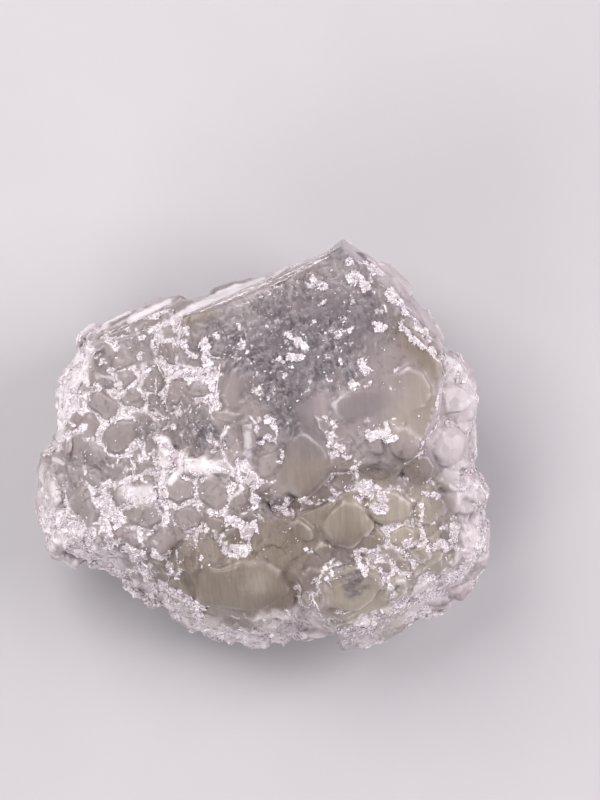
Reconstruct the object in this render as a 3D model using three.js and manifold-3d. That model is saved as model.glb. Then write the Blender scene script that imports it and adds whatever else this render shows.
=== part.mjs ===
// A hand-size specimen of sugar fluorite: blocky crystals grown into one another, their faces
// paved with smooth flat-topped growth pads and set with the tiny cubes of a sugary crust.
// It lies on its broken back with the crystal faces up. Millimetres, +Z up, +Y towards the
// crystals' peak; the origin is the middle of the footprint, on the surface that it rests on.
//
// The whole specimen grew as one piece, so it is one closed solid: each crystal is the convex
// hull of its corners, and pads, blocks, ledges and cubes are fused to the faces they grow on.

import * as THREE from "three";
import { ConvexGeometry } from "three/addons/geometries/ConvexGeometry.js";
import { mergeVertices } from "three/addons/utils/BufferGeometryUtils.js";
import Module from "manifold-3d";

const wasm = await Module();
wasm.setup();

// ---- Driving dimensions ----

const WIDTH = 54; // along X
const LENGTH = 48.4; // along Y
const THICKNESS = 27; // along Z, from the rest face to the highest pad

// Each crystal has a crown, the corners of its upper face, and a girdle, the corners where it is
// widest. Its foot is the girdle drawn in by the share foot, on the rest face.
const CRYSTALS = {
  peak: {
    crown: [
      [3.2, 19.2, 23.8], [9.2, 22.9, 23.6], [13.4, 19.2, 25.2], [20.6, 9.3, 25.6], [20.2, 5.0, 25.2],
      [19.3, 2.2, 24.4], [15.3, -3.4, 23.0], [6.5, -3.0, 23.4], [4.6, 4.0, 24.2], [3.8, 12.0, 24.5],
    ],
    girdle: [
      [0.2, 18.1, 12.5], [5.1, 20.6, 12.5], [9.5, 24.2, 13.5], [11.3, 22.8, 13], [14.9, 20.5, 12.5],
      [16.3, 19.5, 12], [17.2, 18.1, 12], [19.8, 14.8, 11], [21.5, 11.0, 10.5], [22, 0, 9],
      [17, -8, 9], [0, -8, 9], [-4, 8, 10],
    ],
    foot: 0.86,
  },
  ridge: {
    crown: [
      [-8.6, 15.0, 22.6], [0.6, 18.1, 23.6], [3.9, 18.2, 24.0], [4.8, 9.0, 24.6], [5.4, 1.5, 23.9],
      [-5.0, 0.5, 23.2], [-10.0, 7.0, 22.4],
    ],
    girdle: [
      [-8.0, 15.3, 12], [-6.1, 16.3, 12], [-3.7, 17.3, 12.5], [0.2, 18.1, 12.5], [9, 18, 11],
      [9, 0, 9], [-12, -4, 9], [-14, 10, 10],
    ],
    foot: 0.84,
  },
  left: {
    crown: [
      [-9.0, 13.9, 21.4], [-19.8, 11.4, 17.9], [-22.2, 8.2, 16.8], [-22.7, 3.0, 16.6],
      [-23.2, -5.0, 16.0], [-19.8, -10.4, 16.4], [-13.8, -12.8, 17.8], [-5.0, -9.0, 21.6],
      [4.6, -4.4, 23.0], [2.6, 3.0, 23.7], [-5.0, 9.0, 22.8],
    ],
    girdle: [
      [-8.4, 15.9, 11], [-20.9, 12.7, 10], [-22.2, 10.4, 9.5], [-23.4, 8.3, 9.5], [-24.1, 6.2, 9],
      [-24.0, 4.4, 9], [-25, -6, 9], [-22, -13, 8.5], [-16, -16, 8.5], [0, -16, 9], [8, 0, 9],
    ],
    foot: 0.8,
  },
  behind: {
    crown: [
      [-19.4, 13.0, 15.0], [-16.2, 14.6, 15.8], [-10.4, 16.4, 17.2], [-9.2, 15.6, 17.2],
      [-10, 10, 18.6], [-18, 9, 17.0], [-20.6, 11.2, 15.4],
    ],
    girdle: [
      [-21.1, 12.8, 9.5], [-18.9, 14.1, 10], [-16.4, 15.3, 10], [-13.7, 16.3, 10.5],
      [-10.4, 17.0, 11], [-8.8, 16.3, 11], [-5, 5, 10], [-18, 5, 9],
    ],
    foot: 0.9,
  },
  corner: {
    crown: [
      [-23.8, -1.0, 14.6], [-25.2, -5.0, 13.8], [-24.2, -10.4, 13.4], [-20.0, -12.5, 14.4],
      [-15.0, -12.0, 17.0], [-14.0, -3.0, 18.8], [-19.0, 0.5, 17.3],
    ],
    girdle: [
      [-23.6, 2.2, 9.5], [-24.9, -0.1, 9.5], [-26.4, -1.7, 9], [-27.0, -4.3, 8.5],
      [-27.1, -7.1, 8.5], [-26.5, -9.5, 8], [-25.2, -12.9, 8], [-22.6, -13.8, 8],
      [-18.8, -14.2, 8], [-10, -12, 8], [-10, 0, 8],
    ],
    foot: 0.87,
  },
  swell: {
    crown: [
      [-8.6, -14.0, 19.4], [-7.5, -18.4, 16.8], [-2.2, -20.2, 15.6], [3.4, -19.4, 16.0],
      [4.8, -14.5, 20.2], [3.5, -9.0, 22.2], [-3.0, -8.5, 22.2], [-7.0, -10.5, 21.0],
    ],
    girdle: [
      [5.9, -21.8, 7.5], [3.6, -23.0, 7.5], [0.7, -24.1, 7], [-2.2, -24.1, 7], [-5.2, -23.1, 7],
      [-7.7, -22.3, 7.5], [-11.4, -19.8, 7.5], [-13.6, -18.1, 8], [-16.4, -16.1, 8], [-18.6, -14, 8],
      [-14, -8, 9], [0, 0, 9], [8, -12, 9],
    ],
    foot: 0.83,
  },
  step: {
    crown: [
      [4.4, -8.2, 22.0], [13.0, -4.6, 21.8], [18.5, -4.0, 20.2], [21.0, -8.0, 18.4],
      [20.4, -13.5, 17.2], [14.5, -18.4, 16.2], [9.5, -20.4, 15.6], [4.6, -18.4, 17.4],
      [3.9, -13.0, 20.6],
    ],
    girdle: [
      [6.4, -21.7, 7.5], [8.7, -22.7, 7.5], [10.8, -24.2, 7.5], [12.3, -24.0, 7.5],
      [14.8, -23.0, 7.5], [19.0, -20.3, 8], [21.8, -19.4, 8], [24.0, -17.6, 8], [24.7, -12, 8.5],
      [24.4, -5, 9], [20, 0, 9], [2, -5, 9],
    ],
    foot: 0.88,
  },
  lowRim: {
    crown: [
      [21.5, -9.0, 16.8], [25.0, -9.8, 14.4], [25.4, -12.8, 13.4], [23.2, -15.6, 13.2],
      [19.5, -14.5, 16.0],
    ],
    girdle: [
      [26.9, -9.3, 8.5], [27.0, -11.5, 8], [26.6, -13.7, 8], [25.6, -15.8, 8], [24.0, -17.6, 8],
      [18, -16, 8], [16, -8, 9],
    ],
    foot: 0.82,
  },
  highRim: {
    crown: [
      [20.5, -3.6, 18.6], [24.2, -4.0, 16.2], [25.2, -5.8, 15.4], [24.6, -8.0, 15.4],
      [20.0, -8.5, 18.2],
    ],
    girdle: [
      [24.4, -3.2, 9], [25.9, -4.0, 9], [26.6, -5.6, 9], [26.1, -8.2, 9], [15, -10, 9], [15, 0, 9],
    ],
    foot: 0.86,
  },
  rightFace: {
    crown: [
      [20.4, 9.8, 21.6], [23.0, 8.8, 19.0], [25.0, 5.2, 17.4], [24.4, 2.8, 17.2], [20.0, 2.2, 20.4],
    ],
    girdle: [
      [20.6, 12.2, 10.5], [22.2, 11.0, 10.5], [23.9, 9.0, 10.5], [25.0, 7.1, 10.5],
      [25.5, 5.2, 10], [25.3, 3.4, 10], [24.9, 1.7, 9.5], [10, 0, 9], [12, 12, 10],
    ],
    foot: 0.85,
  },
  rightDome: {
    crown: [[19.6, 1.6, 19.6], [24.0, 1.4, 17.0], [23.9, -2.8, 16.8], [18.8, -3.8, 19.4]],
    girdle: [[25.0, 2.0, 9.5], [25.1, 0.1, 9.5], [24.5, -3.1, 9], [12, -6, 9], [12, 4, 9]],
    foot: 0.88,
  },
};

// The heart that the crystals share: the hull of all their corners, drawn in by a share of the
// reach and lowered, so that the clefts between crystals are no deeper than that.
const HEART_SHARE = 0.95;
const HEART_DEPTH = 1.7;

// The growth pads that stand out by size or place: [x, y, reach along X, reach along Y, rise].
const PADS = [
  [5.0, -1.8, 3.1, 4.9, 1.4], [9.7, -9.2, 3.3, 2.9, 1.2], [10.3, -16.6, 3.8, 3.3, 1.3],
  [-2.6, -16.2, 5.6, 4.1, 0.9], [1.6, -12.1, 3.0, 3.2, 0.4], [-2.8, 6.7, 1.8, 3.2, 0.45],
  [21.6, -0.1, 2.6, 2.6, 1.1], [22.7, 5.5, 2.0, 2.2, 0.6], [17.2, 6.4, 2.7, 3.4, 0.3],
  [11.2, 4.6, 3.8, 1.6, 0.3], [1.8, 3.2, 1.4, 3.1, 0.4], [16.4, -10.9, 1.9, 1.5, 0.5],
  [14.7, -7.4, 2.6, 2.1, 0.8], [19.5, -7.6, 2.0, 2.2, 0.6], [11.7, 13.7, 2.1, 2.3, 0.3],
  [9.2, -4.1, 1.4, 1.7, 0.45], [18.0, -2.9, 1.6, 2.0, 0.5], [15.6, 0.8, 1.9, 1.6, 0.45],
  [16.0, 18.6, 1.5, 1.6, 0.5], [19.2, 13.3, 1.0, 1.4, 0.5], [23.5, 8.4, 1.1, 1.6, 0.45],
  [12.1, 21.6, 1.4, 1.1, 0.5], [-4.3, 14.1, 1.6, 1.1, 0.3], [0.7, 16.5, 2.0, 1.1, 0.3],
  [4.5, -10.3, 1.4, 1.6, 0.45], [19.1, -16.4, 1.9, 1.4, 0.5], [15.7, -16.6, 1.5, 1.9, 0.45],
  [23.2, -8.4, 1.4, 1.8, 0.45], [24.0, -5.8, 1.3, 1.3, 0.45], [23.2, -12.7, 1.6, 1.6, 0.5],
  [-10.8, 10.6, 1.4, 1.6, 0.45], [-13.1, 11.9, 1.2, 1.5, 0.4], [-9.9, 6.1, 1.7, 1.5, 0.45],
  [-12.7, 6.9, 0.9, 2.1, 0.4], [-15.5, 5.3, 1.4, 1.0, 0.4], [-18.7, 4.8, 1.5, 1.4, 0.45],
  [-21.5, 9.1, 1.1, 1.6, 0.45], [-16.4, 0.8, 1.7, 2.0, 0.45], [-19.2, -0.9, 1.3, 1.4, 0.4],
  [-12.7, -0.1, 0.9, 1.5, 0.4], [-9.6, -4.8, 1.8, 1.4, 0.5], [-5.9, -5.3, 1.5, 1.8, 0.5],
  [-3.6, -3.6, 0.9, 1.0, 0.4], [-13.4, -3.6, 1.4, 0.9, 0.3], [-14.1, -7.9, 2.1, 1.5, 0.45],
  [-12.0, -11.3, 1.4, 1.9, 0.45], [-8.9, -8.9, 1.2, 1.6, 0.45], [-8.5, -13.1, 1.5, 2.3, 0.45],
  [-17.7, -11.3, 1.0, 1.5, 0.45], [-21.1, -7.2, 1.6, 2.0, 0.5], [-24.2, -3.6, 1.1, 1.4, 0.45],
  [-3.1, 0.1, 1.1, 2.2, 0.45], [0.5, -2.0, 1.3, 1.9, 0.45], [-6.9, 13.0, 1.4, 1.3, 0.4],
  [-16.1, 10.0, 1.1, 1.3, 0.4], [-20.3, 2.2, 1.0, 1.3, 0.4], [-16.1, -2.9, 1.1, 1.0, 0.3],
];

// Calm faces, where only the pads above grow: [x, y, reach along X, reach along Y].
const CALM = [
  [10.5, 12.0, 9.5, 8.6], [9.4, 22.6, 3.4, 3.2], [-2.4, -17.0, 7.0, 4.6], [8.2, -9.0, 4.4, 3.0],
  [11.4, -17.0, 3.6, 2.8], [22.6, 5.6, 3.6, 3.4], [18.6, 3.6, 3.0, 4.0], [21.6, -0.6, 3.2, 3.0],
  [1.6, 20.4, 6.2, 3.0], [-6.0, 17.0, 4.4, 1.8], [13.5, 21.6, 3.0, 2.6], [-19.2, 13.8, 2.6, 1.8],
];
const CALM_ABOVE = 7.5; // they are calm from this height up

// Other pads pave what those leave free: [smallest, largest] reach and rise.
const SMALL_PADS = 164;
const SMALL_TRIES = 2500;
const SMALL_REACH = [1.15, 1.8];
const SMALL_RISE = [0.3, 0.5];
const FLANK_GROWTH = 1.8; // pads and cubes on upright faces are larger than on top by this
const PAD_SPACING = 0.78; // share of two reaches that the middles of two pads keep apart
const TOP_FAVOUR = 1.4; // over 1 puts more of them on the upper faces
const VEIN = 0.4; // width of the crust between two pads
const PAD_TILT = 0.1; // how far a pad's flat top leans off its face
const PAD_WOBBLE = 0.07; // how far a pad's outline leaves an ellipse
const CROWDING = 1.4; // a pad's reach, where no neighbour stops it, in shares of its own room
const DOME_FROM = 2.5; // named pads of this reach and more are domes, which grow over their neighbours
// A pad's rings of corners, from its sunk foot to its top: [share of reach, share of rise].
const DOME_RINGS = [[1, -0.8], [0.95, 0.5], [0.84, 0.88], [0.6, 1]];
const PLATE_RINGS = [[1, -0.9], [0.8, 1]];
const DOME_SIDES = 10;
const PLATE_SIDES = 6;
const SMALL_SIDES = 5;

// Blocks with flat faces that stand out of the crust: [x, y, length, width, rise, turn].
const BLOCKS = [
  [-6.2, -2.2, 5.8, 2.2, 0.9, 4], [-1.7, 1.0, 1.1, 2.8, 0.8, 0], [-11.2, -0.9, 1.7, 3.2, 0.8, 6],
  [-13.8, -5.6, 3.6, 2.0, 0.7, 12], [6.3, 19.0, 2.2, 0.9, 0.5, -38], [3.6, 12.6, 1.6, 1.3, 0.5, 20],
  [12.0, -4.0, 2.0, 2.2, 0.6, 30], [-20.4, 9.2, 0.9, 3.4, 0.6, 14], [-21.8, -10.4, 3.2, 1.8, 0.6, 16],
  [-15.8, 13.2, 5.4, 1.0, 0.6, 22], [12.2, -11.9, 1.8, 1.6, 0.5, 75], [17.6, 13.0, 3.0, 1.0, 0.5, -46],
];

// Growth steps along the ridge's cliff, from its left end to the peak:
// [share of its height from the ridge down, how far it stands out].
const LEDGES = [[0.08, 0.1], [0.26, 0.3], [0.5, 0.5]];
const RIDGE_FROM = [-8.4, 14.9];
const RIDGE_TO = [8.4, 22.4];
const RIDGE_TOP = 23.2;
const CLIFF_HEIGHT = 11;
const LEDGE_THICKNESS = 1.6;

// The crust's largest cubes.
const CUBES = 10;
const CUBE_SIDE = [0.9, 2.2];
const CUBE_SINK = 0.3; // share of the side by which a cube's middle is under the face
const CUBE_HEADING = 26; // degrees: most cubes are parallel to the peak crystal
const CUBE_STRAY = 14; // degrees either way

// Cleavage breaks that chip the back's edge: [heading, distance of the face from the middle
// at the rest face, lean outward], in degrees and millimetres.
const BREAKS = [
  [12, 18.5, 36], [34, 17, 55], [75, 15, 50], [98, 16, 28], [140, 15.5, 45], [168, 18, 52],
  [200, 18.5, 50], [228, 16.5, 57], [262, 15, 51], [292, 17, 52], [318, 17, 59], [345, 19.5, 49],
];
const BROKEN = -0.42; // a face that looks down more than this is a break, with no growth on it
const LOWEST_GROWTH = 2.5;

// ---- Numbers that look random but are the same every time ----

function dice(seed) {
  let state = seed;
  return () => {
    state = (state + 0x6d2b79f5) | 0;
    let t = Math.imul(state ^ (state >>> 15), 1 | state);
    t = (t + Math.imul(t ^ (t >>> 7), 61 | t)) ^ t;
    return ((t ^ (t >>> 14)) >>> 0) / 4294967296;
  };
}
const between = ([low, high], share) => low + (high - low) * share;

// ---- Solids ----

function solidOf(geometry) {
  const bare = geometry.clone();
  for (const name of Object.keys(bare.attributes))
    if (name !== "position") bare.deleteAttribute(name);
  const merged = mergeVertices(bare, 1e-4);
  return new wasm.Manifold(
    new wasm.Mesh({
      numProp: 3,
      vertProperties: merged.getAttribute("position").array,
      triVerts: new Uint32Array(merged.index.array),
    }),
  );
}

function geometryOf(solid) {
  const { vertProperties, triVerts } = solid.getMesh();
  return new THREE.BufferGeometry()
    .setAttribute("position", new THREE.BufferAttribute(vertProperties, 3))
    .setIndex(new THREE.BufferAttribute(triVerts, 1));
}

const hull = (corners) =>
  solidOf(new ConvexGeometry(corners.map((corner) => new THREE.Vector3(...corner))));
const fuse = (solids) => wasm.Manifold.union(solids);

// ---- Crystals ----

const crystal = ({ crown, girdle, foot }) =>
  hull([...crown, ...girdle, ...girdle.map(([x, y]) => [x * foot, y * foot, 0])]);

function heart(crystals) {
  const corners = crystals.flatMap(({ crown, girdle, foot }) => [
    ...crown.map(([x, y, z]) => [x, y, z - HEART_DEPTH]),
    ...girdle,
    ...girdle.map(([x, y]) => [x * foot, y * foot, 0]),
  ]);
  return hull(corners.map(([x, y, z]) => [x * HEART_SHARE, y * HEART_SHARE, z]));
}

// A plate along the ridge whose outer edge is a step of the cliff.
function ledge([share, standsOut]) {
  const from = new THREE.Vector2(...RIDGE_FROM);
  const along = new THREE.Vector2(...RIDGE_TO).sub(from);
  const depth = 4;
  const plate = new THREE.BoxGeometry(along.length() * (0.96 - 0.3 * share), depth, LEDGE_THICKNESS);
  const middle = from.clone().addScaledVector(along, 0.5 - 0.12 * share);
  plate.translate(0, standsOut - depth / 2, 0);
  plate.rotateZ(along.angle());
  plate.translate(middle.x, middle.y, RIDGE_TOP - share * CLIFF_HEIGHT - LEDGE_THICKNESS / 2);
  return solidOf(plate);
}

// A big leaning box that chips off what lies beyond a cleavage face at the back's edge.
function breakAway([heading, distance, lean]) {
  const size = 60;
  const chip = new THREE.BoxGeometry(size, size, size);
  chip.translate(size / 2, 0, -size / 2);
  chip.rotateY(-THREE.MathUtils.degToRad(90 - lean));
  chip.translate(distance, 0, 0);
  chip.rotateZ(THREE.MathUtils.degToRad(heading));
  return solidOf(chip);
}

// ---- Where things grow ----

// Where a straight line from outside first meets the crystals, and the way that they face there:
// the mean over a small patch, so that what grows on an edge leans across it.
function landing(surface, from, towards, reach) {
  const sideways = new THREE.Vector3(-towards.y, towards.x, 0);
  if (sideways.length() < 1e-3) sideways.set(1, 0, 0);
  sideways.normalize();
  const upwards = new THREE.Vector3().crossVectors(sideways, towards).normalize();
  const ray = new THREE.Raycaster();
  const hits = [[0, 0], [1, 0], [-1, 0], [0, 1], [0, -1]].map(([right, up]) => {
    const start = from.clone().addScaledVector(sideways, right * reach * 0.6);
    ray.set(start.addScaledVector(upwards, up * reach * 0.6), towards);
    return ray.intersectObject(surface)[0];
  });
  if (!hits[0]) return null;
  const near = hits.filter((hit) => hit && hit.point.distanceTo(hits[0].point) < 2 * reach);
  const normal = new THREE.Vector3();
  near.forEach((hit) => normal.add(hit.face.normal));
  normal.normalize();
  const point = new THREE.Vector3();
  near.forEach((hit) => point.addScaledVector(hit.point, 1 / near.length));
  const turn = new THREE.Quaternion().setFromUnitVectors(new THREE.Vector3(0, 0, 1), normal);
  return { point, normal, turn };
}

const fromAbove = (surface, x, y, reach) =>
  landing(surface, new THREE.Vector3(x, y, 100), new THREE.Vector3(0, 0, -1), reach);

// Even directions over a ball by the golden angle, each a line that comes in from outside. The
// lines aim at a flat disc inside the specimen, so that they spread over its faces.
function comeIn(surface, share, index, reach) {
  const height = 1 - 2 * share;
  const across = Math.sqrt(1 - height * height);
  const heading = index * Math.PI * (3 - Math.sqrt(5));
  const outward = new THREE.Vector3(Math.cos(heading) * across, Math.sin(heading) * across, height);
  const aim = new THREE.Vector3(outward.x * WIDTH * 0.33, outward.y * LENGTH * 0.33, 10);
  const towards = outward.clone().negate();
  return landing(surface, aim.clone().addScaledVector(towards, -80), towards, reach);
}

const calm = ({ point }) =>
  point.z > CALM_ABOVE &&
  CALM.some(([x, y, rx, ry]) => Math.hypot((point.x - x) / rx, (point.y - y) / ry) < 1);
const growsAt = (place) => place.point.z > LOWEST_GROWTH && place.normal.z > BROKEN && !calm(place);
const scaleOn = ({ normal }) => 1 + (FLANK_GROWTH - 1) * (1 - Math.max(0, normal.z));

// ---- Growth pads ----

function namedSpots(surface) {
  return PADS.map(([x, y, reachX, reachY, rise]) => {
    const reach = Math.max(reachX, reachY);
    return { place: fromAbove(surface, x, y, reach), reachX, reachY, reach, rise, named: true };
  });
}

function smallSpots(surface, named) {
  const roll = dice(11);
  const spots = [...named];
  for (let i = 0; i < SMALL_TRIES && spots.length < named.length + SMALL_PADS; i++) {
    const share = roll() ** TOP_FAVOUR;
    const size = between(SMALL_REACH, roll());
    const rise = between(SMALL_RISE, roll());
    const stretch = between([0.8, 1.25], roll());
    const place = comeIn(surface, share, i, size);
    if (!place || !growsAt(place)) continue;
    const reach = size * scaleOn(place);
    const tooNear = (other) =>
      other.place.point.distanceTo(place.point) < PAD_SPACING * (other.reach + reach);
    if (spots.some(tooNear)) continue;
    const [reachX, reachY] = [reach * stretch, reach / stretch];
    spots.push({ place, reachX, reachY, reach, rise });
  }
  return spots;
}

// How far a pad may reach along a direction in its own plane before its neighbour's vein.
function roomTowards(direction, spot, neighbours) {
  return neighbours.reduce((room, { share, gap, unit }) => {
    const along = direction.dot(unit);
    return along > 0.05 ? Math.min(room, (share * gap - VEIN / 2) / along) : room;
  }, Infinity);
}

function pad(spot, spots, index) {
  const { place, reachX, reachY, reach, rise } = spot;
  const [ex, ey] = [new THREE.Vector3(1, 0, 0), new THREE.Vector3(0, 1, 0)].map((axis) =>
    axis.applyQuaternion(place.turn),
  );
  const neighbours = spots
    .filter((other) => other !== spot)
    .map((other) => {
      const offset = other.place.point.clone().sub(place.point);
      const flat = new THREE.Vector2(offset.dot(ex), offset.dot(ey));
      const gap = offset.length();
      return { gap, unit: flat.normalize(), share: reach / (reach + other.reach), far: other.reach };
    })
    .filter(({ gap, far }) => gap < reach + far + 1);
  const dome = reach >= DOME_FROM && spot.named;
  const crowding = dome ? 1 : CROWDING;
  const sides = dome ? DOME_SIDES : spot.named ? PLATE_SIDES : SMALL_SIDES;
  const rings = dome ? DOME_RINGS : PLATE_RINGS;
  const roll = dice(index + 101);
  const lean = new THREE.Vector2(roll() - 0.5, roll() - 0.5).multiplyScalar(2 * PAD_TILT);
  const start = roll();
  const outline = Array.from({ length: sides }, (_, k) => {
    const angle = (2 * Math.PI * (k + start + 0.35 * (roll() - 0.5))) / sides;
    const direction = new THREE.Vector2(Math.cos(angle), Math.sin(angle));
    const wobble = 1 + PAD_WOBBLE * Math.cos((3 + (index % 3)) * angle);
    const own = wobble / Math.hypot(direction.x / reachX, direction.y / reachY);
    const free = dome ? own : Math.max(roomTowards(direction, spot, neighbours), reach * 0.3);
    return direction.multiplyScalar(Math.min(own * crowding, free));
  });
  const corners = rings.flatMap(([share, height]) =>
    outline.map(({ x, y }) => {
      const [px, py] = [x * share, y * share];
      const top = height > 0 ? px * lean.x + py * lean.y : 0;
      return place.point
        .clone()
        .addScaledVector(ex, px)
        .addScaledVector(ey, py)
        .addScaledVector(place.normal, height * rise + top)
        .toArray();
    }),
  );
  return hull(corners);
}

function pads(surface) {
  const spots = smallSpots(surface, namedSpots(surface));
  return spots.map((spot, index) => pad(spot, spots, index));
}

// ---- Blocks and cubes of the crust ----

function blocks(surface) {
  return BLOCKS.map(([x, y, length, width, rise, turn]) => {
    const place = fromAbove(surface, x, y, width);
    const shape = new THREE.BoxGeometry(length, width, 2 * rise);
    shape.rotateX(0.12);
    shape.rotateZ(THREE.MathUtils.degToRad(turn));
    shape.applyQuaternion(place.turn);
    shape.translate(...place.point.toArray());
    return solidOf(shape);
  });
}

function cubes(surface) {
  const roll = dice(29);
  const made = [];
  for (let i = 0; made.length < CUBES; i++) {
    const share = roll();
    const size = between(CUBE_SIDE, roll() ** 2);
    const stray = () => THREE.MathUtils.degToRad((roll() - 0.5) * 2 * CUBE_STRAY);
    const [tipX, tipY, turn] = [stray(), stray(), stray()];
    const place = comeIn(surface, share, i, size / 2);
    if (!place || !growsAt(place)) continue;
    const side = size * scaleOn(place);
    const shape = new THREE.BoxGeometry(side, side, side);
    shape.rotateX(tipX + 0.3);
    shape.rotateY(tipY + 0.25);
    shape.rotateZ(turn + THREE.MathUtils.degToRad(CUBE_HEADING));
    const middle = place.point.clone().addScaledVector(place.normal, -side * CUBE_SINK);
    shape.translate(...middle.toArray());
    made.push(solidOf(shape));
  }
  return made;
}

// ---- The specimen ----

// The outer shell alone, so that a hollow sealed in where crystals met is solid.
const outerShell = (solid) => solid.decompose().sort((a, b) => b.volume() - a.volume())[0];

// Trims what passes the rest face, and brings the size to the driving dimensions.
function finished(solid) {
  const under = new THREE.BoxGeometry(200, 200, 100).translate(0, 0, -50);
  const geometry = geometryOf(outerShell(solid.subtract(solidOf(under))));
  geometry.computeBoundingBox();
  const size = geometry.boundingBox.getSize(new THREE.Vector3());
  const middle = geometry.boundingBox.getCenter(new THREE.Vector3());
  geometry.translate(-middle.x, -middle.y, 0);
  geometry.scale(WIDTH / size.x, LENGTH / size.y, THICKNESS / size.z);
  return geometry;
}

function specimenGeometry() {
  const crystals = Object.values(CRYSTALS);
  const grown = fuse([heart(crystals), ...crystals.map(crystal), ...LEDGES.map(ledge)]);
  const body = BREAKS.map(breakAway).reduce((left, chip) => left.subtract(chip), grown);
  const surface = new THREE.Mesh(geometryOf(body), new THREE.MeshBasicMaterial());
  return finished(fuse([body, ...pads(surface), ...blocks(surface), ...cubes(surface)]));
}

function fluorite() {
  const clear = new THREE.MeshStandardMaterial({ color: 0xb9b8b4, roughness: 0.35, metalness: 0 });
  clear.name = "sugar_fluorite";
  const mesh = new THREE.Mesh(specimenGeometry(), clear);
  mesh.name = "fluorite_specimen";
  return mesh;
}

const specimen = new THREE.Group();
specimen.add(fluorite());

export default specimen;
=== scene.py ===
# %% [markdown]
# # A hand specimen of sugar fluorite
# Fluorite is a clear mineral that grows in cubes. On this specimen, blocky crystals have grown
# into one another. Their faces are paved with smooth growth pads, and the veins between the pads
# are filled with a crust of tiny glittering cubes, which gives "sugar" fluorite its name.
#
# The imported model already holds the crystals, the pads and the broken back as one faceted solid.
# This lesson turns it into a picture: it lays a fine skin over the solid, finds where sugar
# grows, mixes a clear crystal material, sets the sugar grain by grain, and lights it all like a
# small object in a studio.

import math

import bmesh
import bpy
import numpy as np
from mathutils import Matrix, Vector
from mathutils.bvhtree import BVHTree


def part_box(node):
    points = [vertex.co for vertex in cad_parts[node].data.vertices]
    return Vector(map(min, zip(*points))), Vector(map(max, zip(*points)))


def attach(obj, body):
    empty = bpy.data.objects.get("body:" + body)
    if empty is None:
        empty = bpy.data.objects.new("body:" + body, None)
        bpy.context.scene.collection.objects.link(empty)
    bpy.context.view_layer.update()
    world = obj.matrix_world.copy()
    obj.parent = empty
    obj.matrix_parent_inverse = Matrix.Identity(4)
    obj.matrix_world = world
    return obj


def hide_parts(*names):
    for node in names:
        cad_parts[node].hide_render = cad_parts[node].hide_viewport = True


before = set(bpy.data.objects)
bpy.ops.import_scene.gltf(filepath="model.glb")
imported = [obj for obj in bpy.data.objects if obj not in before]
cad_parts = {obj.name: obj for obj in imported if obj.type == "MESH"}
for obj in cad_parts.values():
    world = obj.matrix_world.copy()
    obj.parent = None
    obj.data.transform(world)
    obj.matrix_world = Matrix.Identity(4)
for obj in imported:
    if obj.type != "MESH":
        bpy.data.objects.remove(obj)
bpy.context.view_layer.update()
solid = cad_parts["fluorite_specimen"]
MM = 0.001

# %% [markdown]
# ## The camera
# The specimen lies on its broken back, so its display side faces up and the camera looks straight
# down on it. A wide lens would swell the nearest crystals and hide the rims behind them, so this
# is a long lens from half a metre, which shows crowns and rims at the same scale. The specimen
# sits a little left of and below the picture's middle.

# %% Camera
LENS_MM = 200
SENSOR_MM = 36
FRAME_HEIGHT = 94 * MM  # what the picture's long side covers at the crystal faces
FACE_LEVEL = 12 * MM
AIM_AT = Vector((4.5, 5.4, 0)) * MM


def new_object(name, data):
    """A new object in the scene: it shows a mesh, or is a camera or a lamp."""
    item = bpy.data.objects.new(name, data)
    bpy.context.scene.collection.objects.link(item)
    return item


camera = new_object("camera", bpy.data.cameras.new("camera"))
camera.data.lens = LENS_MM
camera.data.sensor_width = SENSOR_MM
camera.data.clip_start = 0.01
camera_height = FRAME_HEIGHT * LENS_MM / SENSOR_MM
camera.location = AIM_AT + Vector((0, 0, FACE_LEVEL + camera_height))
bpy.context.scene.camera = camera
print(f"camera {camera_height / MM:.0f} mm above the crystal faces")

# %% [markdown]
# ## A fine skin over the solid
# The solid's facets are up to several millimetres across, and real growth pads have soft edges.
# One way to soften them is a subdivision surface, but that needs evenly shaped faces. A voxel
# remesh works on any closed mesh: it lays a fine, even grid of small quads over it. Each point is
# then pulled towards its neighbours, which rounds the pads' edges and keeps their flat tops.
# The skin is shaped with numpy, because it has far too many points for a Python loop.

# %% Remesh a copy of the solid
SKIN_STEP = 0.25 * MM


def remeshed(source, step):
    """An evenly gridded copy of a closed mesh."""
    welded = bmesh.new()
    welded.from_mesh(source)
    bmesh.ops.remove_doubles(welded, verts=welded.verts, dist=0.001 * MM)
    mesh = bpy.data.meshes.new("welded")
    welded.to_mesh(mesh)
    welded.free()
    holder = new_object("holder", mesh)
    grid = holder.modifiers.new("grid", "REMESH")
    grid.mode = "VOXEL"
    grid.voxel_size = step
    graph = bpy.context.evaluated_depsgraph_get()
    fine = bpy.data.meshes.new_from_object(holder.evaluated_get(graph))
    bpy.data.objects.remove(holder)
    return fine


def mesh_arrays(mesh):
    """A mesh's points and its point normals, as numpy arrays."""
    points = np.empty(len(mesh.vertices) * 3)
    mesh.vertices.foreach_get("co", points)
    normals = np.empty(len(mesh.vertices) * 3, np.float32)
    mesh.vertices.foreach_get("normal", normals)
    return points.reshape(-1, 3), normals.reshape(-1, 3).astype(float)


skin = remeshed(solid.data, SKIN_STEP)
print("skin:", len(skin.vertices), "points,", 2 * len(skin.polygons), "triangles")

# %% Neighbour averaging on the skin
edge_ends = np.empty(len(skin.edges) * 2, np.int64)
skin.edges.foreach_get("vertices", edge_ends)
edge_ends = edge_ends.reshape(-1, 2)
both_ways = np.concatenate([edge_ends, edge_ends[:, ::-1]])
valence = np.bincount(both_ways[:, 0], minlength=len(skin.vertices))


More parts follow.
